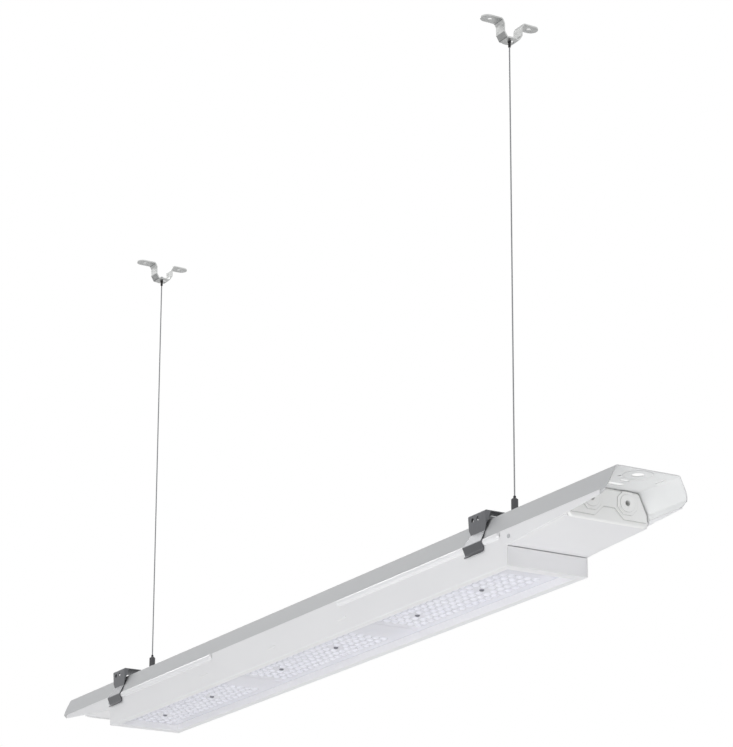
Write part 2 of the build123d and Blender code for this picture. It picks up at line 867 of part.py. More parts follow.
centres = plate_centres()
near_cap = make_end_cap()
nodes = {
    "trunking_rail": make_rail(),
    "tray_body": make_tray_body(),
    "box_end_near": make_box_end(box_near, -1),
    "box_end_far": make_box_end(box_far, 1),
    "end_panel_near": make_end_panel(box_near, cap_face_near, 1),
    "end_panel_far": make_end_panel(box_far, cap_face_far, -1),
    "end_cap_near": near_cap,
    "end_cap_far": mirror(near_cap, about=Plane.YZ.offset(rail_offset)),
    "gear_plate": make_gear_plate(centres),
    "led_driver": make_driver(),
    "terminal_block": make_terminal_block(),
    "gear_screws": make_gear_screws(),
    "lens_screws": make_screws(centres),
    "panel_rivets": make_rivets(),
}
for name, centre_x in zip(("far", "middle", "near"), centres):
    nodes["lens_plate_" + name] = make_lens_plate(centre_x)
    nodes["led_board_" + name] = make_board(centre_x)
    nodes["led_packages_" + name] = make_packages(centre_x)
for name, x in (("near", suspension_spacing / 2), ("far", -suspension_spacing / 2)):
    nodes["suspension_clip_" + name] = make_clip(x)
    nodes["gripper_body_" + name] = make_gripper(x)
    nodes["gripper_nut_" + name] = make_nut(x)
    nodes["gripper_plunger_" + name] = make_plunger(x)
    nodes["suspension_wire_" + name] = make_wire(x)
    nodes["wire_ferrule_" + name] = make_ferrule(x)
    nodes["wire_stop_" + name] = make_stop(x)
    nodes["ceiling_bracket_" + name] = make_ceiling_bracket(x)
for name, shape in nodes.items():
    export_step(shape, os.path.join("parts", name + ".step"))
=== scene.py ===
import bmesh
import bpy
import math
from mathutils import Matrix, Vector


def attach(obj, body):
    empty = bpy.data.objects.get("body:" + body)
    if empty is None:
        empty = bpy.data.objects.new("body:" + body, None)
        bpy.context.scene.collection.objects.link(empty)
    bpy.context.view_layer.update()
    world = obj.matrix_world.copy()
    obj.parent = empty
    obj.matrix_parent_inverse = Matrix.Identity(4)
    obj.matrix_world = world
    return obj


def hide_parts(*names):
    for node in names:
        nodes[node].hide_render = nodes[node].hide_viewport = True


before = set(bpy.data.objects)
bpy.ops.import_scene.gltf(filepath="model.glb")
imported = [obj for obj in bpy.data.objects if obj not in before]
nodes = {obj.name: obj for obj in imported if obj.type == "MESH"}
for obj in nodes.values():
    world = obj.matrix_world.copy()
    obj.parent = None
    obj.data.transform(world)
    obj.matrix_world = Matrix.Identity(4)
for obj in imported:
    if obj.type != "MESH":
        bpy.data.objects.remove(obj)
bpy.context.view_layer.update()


# Camera
# The light is seen from below, from its near end and its left side, through a long lens. The place, the tilt
# and the lens are those that fit the straight edges in the photograph.
camera_tilt = 0.27437
camera_turn = 1.0314

camera_data = bpy.data.cameras.new("camera")
camera_data.lens = 133.5
camera_data.sensor_width = 36
camera_data.shift_x = -0.047
camera_data.shift_y = 0.2
camera_data.clip_end = 30
camera = bpy.data.objects.new("camera", camera_data)
camera.location = (3.2608, -1.8096, -1.60065)
camera.rotation_euler = (math.pi / 2 + camera_tilt, 0, camera_turn)
bpy.context.scene.collection.objects.link(camera)
bpy.context.scene.camera = camera


# Suspension wires
# Two steel ropes of 1.8 mm, each a core with six strands laid round it, pressed into a stop at the ceiling
# and gripped in the body on the clip. The load keeps them straight.
wire_diameter = 0.0018
wire_length = 0.6483
wire_top = -0.0192
wire_half_spacing = 0.51
strands = 6
lay_length = 0.012


def colour(code):
    """An sRGB hex value as the linear colour that a shader takes."""
    parts = [int(code[place:place + 2], 16) / 255 for place in (0, 2, 4)]
    return tuple(p / 12.92 if p <= 0.04045 else ((p + 0.055) / 1.055) ** 2.4 for p in parts) + (1.0,)


def add(tree, kind, settings, *links):
    """Adds a node with its settings; a link is the node and socket it comes from and the socket it goes to."""
    node = tree.nodes.new(kind)
    for name, value in settings.items():
        if name in node.inputs:
            node.inputs[name].default_value = value
        else:
            setattr(node, name, value)
    for source, output, target in links:
        tree.links.new(source.outputs[output], node.inputs[target])
    return node


def surface(name, settings):
    """A new material with its shader; gives the material, its node tree and the shader."""
    material = bpy.data.materials.new(name)
    material.use_nodes = True
    tree = material.node_tree
    tree.nodes.clear()
    shader = add(tree, "ShaderNodeBsdfPrincipled", settings)
    add(tree, "ShaderNodeOutputMaterial", {}, (shader, "BSDF", "Surface"))
    return material, tree, shader


def two_tones(tree, shader, pattern, output, low, high):
    """Colours a surface from low to high as a pattern rises from 0 to 1; gives the node that mixes the two."""
    tint = add(tree, "ShaderNodeMix", {"data_type": "RGBA"}, (pattern, output, "Factor"))
    tint.inputs[6].default_value = colour(low)
    tint.inputs[7].default_value = colour(high)
    tree.links.new(tint.outputs[2], shader.inputs["Base Color"])
    return tint


def relief(tree, shader, pattern, output, strength, depth):
    """Raises a surface where a pattern rises, depth being in metres; gives the bump node."""
    bump = add(tree, "ShaderNodeBump", {"Strength": strength, "Distance": depth}, (pattern, output, "Height"))
    tree.links.new(bump.outputs["Normal"], shader.inputs["Normal"])
    return bump


# Drawn galvanised rope: a mid-grey metal whose strands break its highlight into a fine diagonal pattern.
galvanised_rope, tree, shader = surface("galvanised_rope", {"Metallic": 1.0, "Roughness": 0.38})
place = add(tree, "ShaderNodeTexCoord", {})
parted = add(tree, "ShaderNodeSeparateXYZ", {}, (place, "Object", "Vector"))
turn = add(tree, "ShaderNodeMath", {"operation": "ARCTAN2"}, (parted, "Y", 0), (parted, "X", 1))
around = add(tree, "ShaderNodeMath", {"operation": "MULTIPLY"}, (turn, 0, 0))
around.inputs[1].default_value = strands
along = add(tree, "ShaderNodeMath", {"operation": "MULTIPLY"}, (parted, "Z", 0))
along.inputs[1].default_value = strands * 2 * math.pi / lay_length
phase = add(tree, "ShaderNodeMath", {"operation": "ADD"}, (around, 0, 0), (along, 0, 1))
crests = add(tree, "ShaderNodeMath", {"operation": "SINE"}, (phase, 0, 0))
shade = add(tree, "ShaderNodeMapRange", {"From Min": -1.0, "From Max": 1.0}, (crests, 0, "Value"))
two_tones(tree, shader, shade, "Result", "77787A", "9FA0A2")
relief(tree, shader, crests, 0, 0.6, 0.0002)

for end, x in (("near", wire_half_spacing), ("far", -wire_half_spacing)):
    line = bpy.data.curves.new("wire_rope_" + end, "CURVE")
    line.dimensions = "3D"
    line.bevel_depth = wire_diameter / 2
    line.bevel_resolution = 4
    line.use_fill_caps = True
    spline = line.splines.new("NURBS")
    spline.points.add(2)
    for point, drop in zip(spline.points, (0, wire_length / 2, wire_length)):
        point.co = (0, 0, -drop, 1)
    spline.order_u = 3
    spline.use_endpoint_u = True
    line.materials.append(galvanised_rope)
    wire = bpy.data.objects.new("wire_rope_" + end, line)
    wire.location = (x, 0, wire_top)
    bpy.context.scene.collection.objects.link(wire)
    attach(wire, "root")
    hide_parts("suspension_wire_" + end)


# Trunking rail
# One hat section rolled from steel strip and punched while flat; its lower lips stand inside the tray's walls.
# Polyester powder coat, sprayed on afterwards: an even white with the faint orange peel of the melted powder,
# about 1.5 mm across and drawn as it is, a soft broad gloss and no metal showing.
def noise(tree, scale, detail):
    """A noise that stays with its piece, with about scale grains to the metre."""
    place = add(tree, "ShaderNodeTexCoord", {})
    return add(tree, "ShaderNodeTexNoise", {"Scale": scale, "Detail": detail}, (place, "Object", "Vector"))


def powder_coat(name, pale, dull, gloss):
    """White powder coat in two tones that drift into each other, with a painted highlight along its edges;
    gives what surface() gives and the tint.
    """
    material, tree, shader = surface(name, gloss)
    drifting = two_tones(tree, shader, noise(tree, 9.0, 2.0), "Fac", dull, pale)
    # A painted highlight whitens every fold and cut edge, in a band about a millimetre wide. It starts where
    # the rounded edge leans 8 degrees from its face and is full at 31 degrees.
    rounded = add(tree, "ShaderNodeBevel", {"samples": 6, "Radius": 0.0012})
    flat = add(tree, "ShaderNodeNewGeometry", {})
    turned = add(
        tree, "ShaderNodeVectorMath", {"operation": "DOT_PRODUCT"},
        (rounded, "Normal", 0), (flat, "Normal", 1),
    )
    edge = add(tree, "ShaderNodeMapRange", {"From Min": 0.99, "From Max": 0.86}, (turned, "Value", "Value"))
    tint = add(tree, "ShaderNodeMix", {"data_type": "RGBA"}, (edge, "Result", "Factor"), (drifting, 2, 6))
    tint.inputs[7].default_value = colour("FFFFFF")
    tree.links.new(tint.outputs[2], shader.inputs["Base Color"])
    peel = relief(tree, shader, noise(tree, 650.0, 1.0), "Fac", 0.08, 0.0004)
    tree.links.new(rounded.outputs["Normal"], peel.inputs["Normal"])
    return material, tree, shader, tint


def finish_node(name, material):
    """Gives a piece carried over from the frame its material."""
    slots = nodes[name].data.materials
    slots.clear()
    slots.append(material)


rail_coat, tree, shader, tint = powder_coat(
    "polyester_powder_coat_rail", "ECEDED", "E6E7E7", {"Roughness": 0.6, "Specular IOR Level": 0.2},
)
# The outside of the section is painted a little greyer than the inside, as painted shade for the weaker light
# that falls on its outer faces. A face is outside where it looks away from the middle of the section.
painted_shade_outside = colour("CECFD0")
section_middle = -0.700
place = add(tree, "ShaderNodeTexCoord", {})
facing = add(tree, "ShaderNodeNewGeometry", {})
middle = add(tree, "ShaderNodeVectorMath", {"operation": "SUBTRACT"}, (place, "Object", 0))
middle.inputs[1].default_value = (0, 0, section_middle)
across = add(tree, "ShaderNodeVectorMath", {"operation": "MULTIPLY"}, (middle, "Vector", 0))
across.inputs[1].default_value = (0, 1, 1)
outward = add(
    tree, "ShaderNodeVectorMath", {"operation": "DOT_PRODUCT"},
    (across, "Vector", 0), (facing, "True Normal", 1),
)
outside = add(tree, "ShaderNodeMath", {"operation": "GREATER_THAN"}, (outward, "Value", 0))
outside.inputs[1].default_value = 0.0
outside_shade_mix = add(tree, "ShaderNodeMix", {"data_type": "RGBA"}, (outside, 0, "Factor"), (tint, 2, 6))
outside_shade_mix.inputs[7].default_value = painted_shade_outside
tree.links.new(outside_shade_mix.outputs[2], shader.inputs["Base Color"])
finish_node("trunking_rail", rail_coat)


# Gear plate
# A sheet of mill-finish aluminium across the box, with upturned flanges that touch the tray's walls and lead
# the heat out. The boards hang below it and the driver stands on it. Rolled aluminium: a soft grey metal with
# fine lines along the rolling direction, here along the light, drawn 0.5 mm apart.
def rolled_metal(name, pale, dull, roughness, line_gap, stretch):
    """Bare rolled metal with lines line_gap apart; stretch scales the pattern per axis, small along a line."""
    # A noise of scale 1 shows its lines about this far apart, in metres.
    noise_gap = 0.5
    rough_spread = 0.06
    material, tree, shader = surface(name, {"Metallic": 1.0, "Roughness": roughness})
    place = add(tree, "ShaderNodeTexCoord", {})
    laid = add(tree, "ShaderNodeMapping", {"Scale": stretch}, (place, "Object", "Vector"))
    lines = add(
        tree, "ShaderNodeTexNoise", {"Scale": noise_gap / line_gap, "Detail": 3.0},
        (laid, "Vector", "Vector"),
    )
    two_tones(tree, shader, lines, "Fac", dull, pale)
    rough = add(
        tree, "ShaderNodeMapRange", {"To Min": roughness - rough_spread, "To Max": roughness + rough_spread},
        (lines, "Fac", "Value"),
    )
    tree.links.new(rough.outputs["Result"], shader.inputs["Roughness"])
    relief(tree, shader, lines, "Fac", 0.15, 0.0001)
    return material


mill_aluminium = rolled_metal("mill_finish_aluminium", "C9CBCC", "B4B6B8", 0.42, 0.0005, (0.04, 1, 1))
finish_node("gear_plate", mill_aluminium)


# LED boards
# Printed boards face to face with the gear plate, one above each lens plate. White solder mask over fibre
# glass: a bright satin white, slightly raised over the copper tracks, 12 mm apart one way and 6 mm the other.
white_mask, tree, shader = surface("white_solder_mask", {"Base Color": colour("F1F1EC"), "Roughness": 0.45})
place = add(tree, "ShaderNodeTexCoord", {})
copper = add(
    tree, "ShaderNodeTexBrick", {"Scale": 40.0, "Mortar Size": 0.02, "Mortar Smooth": 0.4},
    (place, "Object", "Vector"),
)
relief(tree, shader, copper, "Fac", 0.3, 0.00007)
for end in ("near", "middle", "far"):
    finish_node("led_board_" + end, white_mask)


# LED packages
# White moulded cups of 3.5 mm soldered to the boards, one behind each lens but not in the lenses' last column,
# where the board has ended. They are filled to just below the rim with phosphor in silicone. Moulded PPA cup:
# bright matt white. Phosphor: a warm, slightly glossy yellow that light enters a little.
package_size = 0.0035
package_height = 0.0008
package_columns = 18
board_underside = -0.7395
lens_columns = 19
lens_rows = 6
lens_pitch_x = 0.0155
lens_pitch_y = 0.012
lens_size_x = 0.0125
plate_length = 0.3679333
plate_pitch = 0.3689333
plate_first = -0.3439333
field_setback = 0.015
# In these columns a screw takes the place of the two middle lenses.
screw_columns = (3, 13)
# A cup's rings from the board down to its phosphor: half width and drop, as shares of its size and height.
cup_rings = ((0.5, 0.0), (0.5, 1.0), (0.42, 1.0), (0.36, 0.7))

moulded_cup, tree, shader = surface("moulded_ppa_cup", {"Base Color": colour("F4F3EE"), "Roughness": 0.5})
relief(tree, shader, noise(tree, 3000.0, 1.0), "Fac", 0.1, 0.00005)

phosphor, tree, shader = surface("phosphor_in_silicone", {"Roughness": 0.25, "Subsurface Weight": 0.2})
two_tones(tree, shader, noise(tree, 2500.0, 2.0), "Fac", "E8C95A", "F3DC86")


def column_place(centre, column):
    """Where a column of lenses or packages stands along the light, on the plate with this centre."""
    return centre - plate_length / 2 + field_setback + lens_size_x / 2 + column * lens_pitch_x


def field_places(centre, columns):
    """Centre of every lens or package of a plate, and whether a screw takes its place."""
    side = -(lens_rows - 1) * lens_pitch_y / 2
    middle = (lens_rows // 2 - 1, lens_rows // 2)
    places = []
    for column in range(columns):
        for row in range(lens_rows):
            bare = column in screw_columns and row in middle
            places.append((column_place(centre, column), side + row * lens_pitch_y, bare))
    return places


def finished_mesh(shape, name):
    """Turns a shape into a mesh whose faces all look outwards."""
    bmesh.ops.recalc_face_normals(shape, faces=shape.faces)
    mesh = bpy.data.meshes.new(name)
    shape.to_mesh(mesh)
    shape.free()
    return mesh


def show(name, mesh, materials, stands_for):
    """Puts a finished mesh in the scene as a piece that stands for its node of the frame."""
    for material in materials:
        mesh.materials.append(material)
    piece = bpy.data.objects.new(name, mesh)
    bpy.context.scene.collection.objects.link(piece)
    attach(piece, "root")
    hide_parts(stands_for)


for index, end in enumerate(("far", "middle", "near")):
    shape = bmesh.new()
    for x, y, bare in field_places(plate_first + index * plate_pitch, package_columns):
        if bare:
            continue
        rings = []
        for half, drop in cup_rings:
            z = board_underside - drop * package_height
            corners = ((-half, -half), (half, -half), (half, half), (-half, half))
            rings.append([
                shape.verts.new((x + cx * package_size, y + cy * package_size, z)) for cx, cy in corners
            ])
        for upper, lower in zip(rings, rings[1:]):
            for side in range(4):
                shape.faces.new((upper[side], upper[side - 1], lower[side - 1], lower[side]))
        shape.faces.new(rings[-1]).material_index = 1
    mesh = finished_mesh(shape, "led_cups_" + end)
    show("led_cups_" + end, mesh, (moulded_cup, phosphor), "led_packages_" + end)


# Lens plates
# Three acrylic mouldings below the boards, each with a field of rounded oval lenses, one below each package.
# Injection-moulded PMMA: clear and glossy with a faint lilac cast. It is drawn as the white of the board that
# shines through it, and only a tenth of the light really goes through.
plate_width = 0.108
plate_face = -0.743
plate_thickness = 0.002
lens_height = 0.0026
lens_size_y = 0.010
side_points = 6
weld_distance = 0.00001
# A lens's rings from its foot to near its crown: reach and rise, as shares of its half size and its height.
lens_rings = ((1.0, 0.0), (0.93, 0.2), (0.79, 0.48), (0.57, 0.74), (0.31, 0.92))
# Points round a lens's cell, from -1 to 1, the same number on each side.
steps = [2 * step / side_points - 1 for step in range(side_points)]
cell_points = (
    [(step, -1) for step in steps] + [(1, step) for step in steps]
    + [(-step, 1) for step in steps] + [(-1, -step) for step in steps]
)

moulded_acrylic, tree, shader = surface(
    "moulded_acrylic", {"IOR": 1.49, "Roughness": 0.12, "Transmission Weight": 0.1},
)
flow = noise(tree, 25.0, 2.0)
two_tones(tree, shader, flow, "Fac", "F1F1FB", "F7F7FD")
relief(tree, shader, flow, "Fac", 0.03, 0.0005)


def grown_border(shape):
    """Grows a strip of faces out of a shape's open border; gives the strip's outer corners, not yet moved."""
    border = [edge for edge in shape.edges if edge.is_boundary]
    grown = bmesh.ops.extrude_edge_only(shape, edges=border)["geom"]
    return [item for item in grown if isinstance(item, bmesh.types.BMVert)]


for index, end in enumerate(("far", "middle", "near")):
    centre = plate_first + index * plate_pitch
    shape = bmesh.new()
    for x, y, bare in field_places(centre, lens_columns):
        cell = [
            shape.verts.new((x + cx * lens_pitch_x / 2, y + cy * lens_pitch_y / 2, plate_face))
            for cx, cy in cell_points
        ]
        if bare:
            shape.faces.new(cell)
            continue
        rings = [cell]
        for reach, rise in lens_rings:
            ring = []
            for cx, cy in cell_points:
                angle = math.atan2(cy, cx)
                ring.append(shape.verts.new((
                    x + math.cos(angle) * reach * lens_size_x / 2,
                    y + math.sin(angle) * reach * lens_size_y / 2,
                    plate_face - rise * lens_height,
                )))
            rings.append(ring)
        for outer, inner in zip(rings, rings[1:]):
            for side in range(len(cell_points)):
                shape.faces.new((outer[side - 1], outer[side], inner[side], inner[side - 1]))
        crown = shape.verts.new((x, y, plate_face - lens_height))
        for side in range(len(cell_points)):
            shape.faces.new((rings[-1][side - 1], rings[-1][side], crown))
    bmesh.ops.remove_doubles(shape, verts=shape.verts, dist=weld_distance)
    # A flat margin runs from the field out to the plate's edges, the edges stand up from it, and the back
    # closes the plate.
    margin = grown_border(shape)
    field_start = min(vert.co.x for vert in margin)
    field_end = max(vert.co.x for vert in margin)
    field_side = max(vert.co.y for vert in margin)
    for vert in margin:
        share = (vert.co.x - field_start) / (field_end - field_start)
        vert.co.x = centre - plate_length / 2 + share * plate_length
        vert.co.y = vert.co.y / field_side * plate_width / 2
    for vert in grown_border(shape):
        vert.co.z += plate_thickness
    bmesh.ops.contextual_create(shape, geom=[edge for edge in shape.edges if edge.is_boundary])
    mesh = finished_mesh(shape, "lens_moulding_" + end)
    mesh.shade_smooth()
    mesh.set_sharp_from_angle(angle=math.radians(32))
    show("lens_moulding_" + end, mesh, (moulded_acrylic,), "lens_plate_" + end)


# Lens plate screws
# Pan-head screws with a cross recess, through each lens plate and its board into the gear plate. Zinc-plated
# steel that a grey passivation has dulled: dark against the white round it, with a small soft highlight.
screw_head = 0.0064
screw_rise = 0.0018
screw_shank = 0.003
screw_reach = 0.0092
screw_sides = 24
recess_depth = 0.0011
recess_taper = 0.6
# Radius and height of a screw's rings, from the end of its shank to the edge of the head's flat top.
screw_rings = (
    (screw_shank / 2, -screw_reach),
    (screw_shank / 2, 0),
    (screw_head / 2, 0),
    (screw_head / 2, 0.35 * screw_rise),
    (0.46 * screw_head, 0.72 * screw_rise),
    (0.36 * screw_head, screw_rise),
)
# Corners of the recess's cross, from its arms' reach and half width as shares of the head.
arm = 0.30
half = 0.09
cross = (
    (arm, half), (half, half), (half, arm), (-half, arm), (-half, half), (-arm, half),
    (-arm, -half), (-half, -half), (-half, -arm), (half, -arm), (half, -half), (arm, -half),
)

dark_zinc, tree, shader = surface("passivated_zinc", {"Metallic": 1.0, "Roughness": 0.4})
two_tones(tree, shader, noise(tree, 900.0, 3.0), "Fac", "7C7D84", "9A9BA2")


def pan_head(shape, x):
    """Adds a screw at x whose head stands below the lens plate's face, with its shank above it."""
    rings = []
    for radius, height in screw_rings:
        ring = []
        for side in range(screw_sides):
            angle = 2 * math.pi * side / screw_sides
            spot = (x + radius * math.cos(angle), radius * math.sin(angle), plate_face - height)
            ring.append(shape.verts.new(spot))
        rings.append(ring)
    shape.faces.new(rings[0])
    for lower, upper in zip(rings, rings[1:]):
        for side in range(screw_sides):
            shape.faces.new((lower[side - 1], lower[side], upper[side], upper[side - 1]))
    top = plate_face - screw_rise
    mouth = [shape.verts.new((x + cx * screw_head, cy * screw_head, top)) for cx, cy in cross]
    bottom = plate_face - (screw_rise - recess_depth)
    foot = [
        shape.verts.new((x + recess_taper * cx * screw_head, recess_taper * cy * screw_head, bottom))
        for cx, cy in cross
    ]
    rim = [shape.edges.get((rings[-1][side - 1], rings[-1][side])) for side in range(screw_sides)]
    lip = [shape.edges.new((mouth[side - 1], mouth[side])) for side in range(len(cross))]
    bmesh.ops.triangle_fill(shape, edges=rim + lip, use_beauty=True)
    for side in range(len(cross)):
        shape.faces.new((mouth[side - 1], mouth[side], foot[side], foot[side - 1]))
    shape.faces.new(foot)


shape = bmesh.new()
for index in range(3):
    for column in screw_columns:
        pan_head(shape, column_place(plate_first + index * plate_pitch, column))
mesh = finished_mesh(shape, "lens_screw_heads")
mesh.shade_smooth()
mesh.set_sharp_from_angle(angle=math.radians(30))
show("lens_screw_heads", mesh, (dark_zinc,), "lens_screws")


# Driver, terminal block and their screws
# The driver in its sealed polycarbonate case and the push-in terminals stand on the gear plate, each held by
# two screws. Moulded plastic: a plain light grey with the fine matt grain of an eroded mould. Zinc-plated
# screws: a bright, faintly bluish metal.
def moulded_plastic(name, pale, dull, roughness, grain_size):
    """Moulded plastic with an eroded mould's pits grain_size apart; gives what powder_coat() gives."""
    # A noise of scale 1 with this little detail shows its pits about this far apart, in metres.
    noise_gap = 0.7
    material, tree, shader = surface(name, {"IOR": 1.5, "Roughness": roughness})
    tint = two_tones(tree, shader, noise(tree, 30.0, 1.0), "Fac", dull, pale)
    relief(tree, shader, noise(tree, noise_gap / grain_size, 2.0), "Fac", 0.12, 0.0001)
    return material, tree, shader, tint


driver_case = moulded_plastic("moulded_polycarbonate", "E6E6E3", "DDDDDA", 0.45, 0.0006)[0]
finish_node("led_driver", driver_case)
terminal_nylon = moulded_plastic("moulded_nylon", "DFE0DC", "D6D7D2", 0.5, 0.0008)[0]
finish_node("terminal_block", terminal_nylon)
bright_zinc, tree, shader = surface("bright_zinc", {"Metallic": 1.0, "Roughness": 0.3})
two_tones(tree, shader, noise(tree, 700.0, 3.0), "Fac", "9C9FA6", "BCC0C6")
finish_node("gear_screws", bright_zinc)


# Tray body, its ends and its sloped panels
# The side walls with their pressed beads and the rim round the light opening are one folded sheet; the end
# plates stand inside it and the sloped panels carry on from them. White powder coat as inside the rail, a
# shade brighter and glossier.
tray_coat = powder_coat(
    "polyester_powder_coat_tray", "F1F1F2", "ECECEE",
    {"Roughness": 0.36, "Coat Weight": 0.3, "Coat Roughness": 0.16},
)[0]
for name in ("tray_body", "box_end_near", "box_end_far", "end_panel_near", "end_panel_far"):
    finish_node(name, tray_coat)


# Panel rivets
# Blind rivets through the walls into the panels' flanges, set after lacquering. Bare aluminium: a small
# bright satin dome with a faint mottle.
rivet_metal = rolled_metal("set_aluminium", "C6C8CA", "AEB0B3", 0.35, 0.0006, (1, 1, 1))
finish_node("panel_rivets", rivet_metal)


# End caps
# White mouldings that close the tray inside the rail, with two screw bosses and an arch between them.
# Moulded ABS: a faintly warm matt white with the fine grain of an eroded mould.
cap_plastic, tree, shader, tint = moulded_plastic("moulded_abs", "F8F8F7", "F3F3F2", 0.42, 0.0007)
# The creases round the bosses and the arch are painted a little greyer in a band of some millimetres, as
# painted shade where the moulding is hollow.
hollow = add(tree, "ShaderNodeAmbientOcclusion", {"samples": 8, "only_local": True, "Distance": 0.005})
crease = add(tree, "ShaderNodeMapRange", {"From Min": 0.5, "From Max": 0.85}, (hollow, "AO", "Value"))
painted_shade = add(tree, "ShaderNodeMix", {"data_type": "RGBA"}, (crease, "Result", "Factor"), (tint, 2, 7))
painted_shade.inputs[6].default_value = colour("C2C2C0")
tree.links.new(painted_shade.outputs[2], shader.inputs["Base Color"])
for end in ("near", "far"):
    finish_node("end_cap_" + end, cap_plastic)


# Suspension clips
# Stainless strip bent over the rail and sprung under the beads of both walls. Cold-rolled stainless steel:
# a darker neutral grey with a slight sheen, its fine rolling lines running along the strip.
rail_top = -0.679
clip_narrowing = 0.95
# Within this distance of the middle the inward move below fades to nothing.
leg_inside = 0.04
# The spring draws the legs in: drop below the rail's top, and how far inwards and up the strip moves there.
clip_draw = (
    (0.000, 0.0020, 0.0),
    (0.019, 0.0036, 0.0025),
    (0.0306, 0.0014, -0.0018),
    (0.0401, 0.0004, -0.0018),
    (0.0436, 0.0018, -0.0012),
)

clip_steel = rolled_metal("cold_rolled_stainless", "757679", "626366", 0.36, 0.0004, (1, 0.05, 0.05))


def drawn_in(drop):
    """How far the spring's pull moves a clip inwards and up at a drop below the rail's top."""
    if drop <= clip_draw[0][0]:
        return clip_draw[0][1:]
    for (above, inward_a, up_a), (below, inward_b, up_b) in zip(clip_draw, clip_draw[1:]):
        if drop <= below:
            share = (drop - above) / (below - above)
            return inward_a + share * (inward_b - inward_a), up_a + share * (up_b - up_a)
    return clip_draw[-1][1:]


for end, x in (("near", wire_half_spacing), ("far", -wire_half_spacing)):
    mesh = nodes["suspension_clip_" + end].data.copy()
    mesh.materials.clear()
    for vert in mesh.vertices:
        inward, up = drawn_in(rail_top - vert.co.z)
        inward *= min(abs(vert.co.y) / leg_inside, 1)
        vert.co.x = x + (vert.co.x - x) * clip_narrowing
        vert.co.y -= math.copysign(inward, vert.co.y)
        vert.co.z += up
    show("sprung_clip_" + end, mesh, (clip_steel,), "suspension_clip_" + end)


# Wire grippers
# Turned sleeves plated with black nickel, screwed to the clips with a nut; the plunger at the top frees the
# wire. Turned and plated: a dark satin metal ringed by the tool every few tenths of a millimetre.
def turned_metal(name, pale, dull, roughness, ring_gap):
    """Turned metal with tool marks ring_gap apart up its length."""
    # A wave texture of scale 1 has its bands this far apart, in metres.
    wave_gap = 0.314
    material, tree, shader = surface(name, {"Metallic": 1.0, "Roughness": roughness})
    place = add(tree, "ShaderNodeTexCoord", {})
    rings = add(
        tree, "ShaderNodeTexWave",
        {"bands_direction": "Z", "Scale": wave_gap / ring_gap, "Distortion": 0.4},
        (place, "Object", "Vector"),
    )
    two_tones(tree, shader, rings, "Fac", dull, pale)
    relief(tree, shader, rings, "Fac", 0.2, 0.00005)
    return material


nickel_plate = turned_metal("turned_black_nickel", "5E5E60", "49494B", 0.34, 0.0004)
plunger_steel = turned_metal("turned_steel", "47474A", "37373A", 0.4, 0.0004)
for end in ("near", "far"):
    finish_node("gripper_body_" + end, nickel_plate)
    finish_node("gripper_nut_" + end, nickel_plate)
    finish_node("gripper_plunger_" + end, plunger_steel)


# Wire ferrules and stops
# A black sleeve keeps each wire central below its saddle, and a die-cast stop above it carries the load.
# Moulded nylon: nearly black and matt. Die-cast zinc: a dull mid-grey with the bloom of the casting.
ferrule_nylon = moulded_plastic("black_nylon", "151516", "0E0E0F", 0.5, 0.0005)[0]
cast_zinc, tree, shader = surface("die_cast_zinc", {"Metallic": 1.0, "Roughness": 0.48})
bloom = noise(tree, 500.0, 4.0)
two_tones(tree, shader, bloom, "Fac", "7E8083", "A3A5A8")
relief(tree, shader, bloom, "Fac", 0.3, 0.0001)
for end in ("near", "far"):
    finish_node("wire_ferrule_" + end, ferrule_nylon)
    finish_node("wire_stop_" + end, cast_zinc)


# Ceiling brackets
# Steel straps with two ears for the ceiling's screws and a saddle with a keyhole for the wire's stop.
# Galvanised strip: a bright grey with a faint mottle of zinc crystals about 4 mm across, and a dark line of
# painted shade along every bend.
galvanised_strip, tree, shader = surface("galvanised_strip", {"Metallic": 1.0, "Roughness": 0.4})
place = add(tree, "ShaderNodeTexCoord", {})
crystals = add(tree, "ShaderNodeTexVoronoi", {"Scale": 250.0}, (place, "Object", "Vector"))
mottle = add(tree, "ShaderNodeSeparateColor", {}, (crystals, "Color", "Color"))
tint = two_tones(tree, shader, mottle, "Red", "C4C5C4", "D4D5D4")
# A face bends where it leans between level and upright, and there a line of painted shade darkens it. The line
# starts 22 degrees from either and is at its darkest from 39 degrees: 0.12 and 0.24 are what the square of
# sine times cosine is there.
facing = add(tree, "ShaderNodeNewGeometry", {})
normal = add(tree, "ShaderNodeSeparateXYZ", {}, (facing, "Normal", "Vector"))
level = add(tree, "ShaderNodeMath", {"operation": "MULTIPLY"}, (normal, "Z", 0), (normal, "Z", 1))
upright = add(tree, "ShaderNodeMath", {"operation": "SUBTRACT"}, (level, 0, 1))
upright.inputs[0].default_value = 1.0
leaning = add(tree, "ShaderNodeMath", {"operation": "MULTIPLY"}, (level, 0, 0), (upright, 0, 1))
bend = add(
    tree, "ShaderNodeMapRange", {"From Min": 0.12, "From Max": 0.24, "To Max": 0.75}, (leaning, 0, "Value"),
)
painted_shade = add(tree, "ShaderNodeMix", {"data_type": "RGBA"}, (bend, "Result", "Factor"), (tint, 2, 6))
painted_shade.inputs[7].default_value = colour("5C5D5E")
tree.links.new(painted_shade.outputs[2], shader.inputs["Base Color"])
rough = add(tree, "ShaderNodeMapRange", {"To Min": 0.39, "To Max": 0.48}, (mottle, "Green", "Value"))
tree.links.new(rough.outputs["Result"], shader.inputs["Roughness"])
for end in ("near", "far"):
    finish_node("ceiling_bracket_" + end, galvanised_strip)


# Studio
# A pale floor well below the light, a white surround that camera, gloss and glass see, and soft lamps: a wide
# one from the front, one at the near end, one from below that lifts the underside, two from above and beyond
# the far end, and one from behind and above for the sides that the camera doesn't see.
floor_level = -2.6
floor_half = 8.0
# How much of the floor's look is plain white, to the camera and in glossy surfaces.
white_to_camera = 0.92
white_to_gloss = 0.4

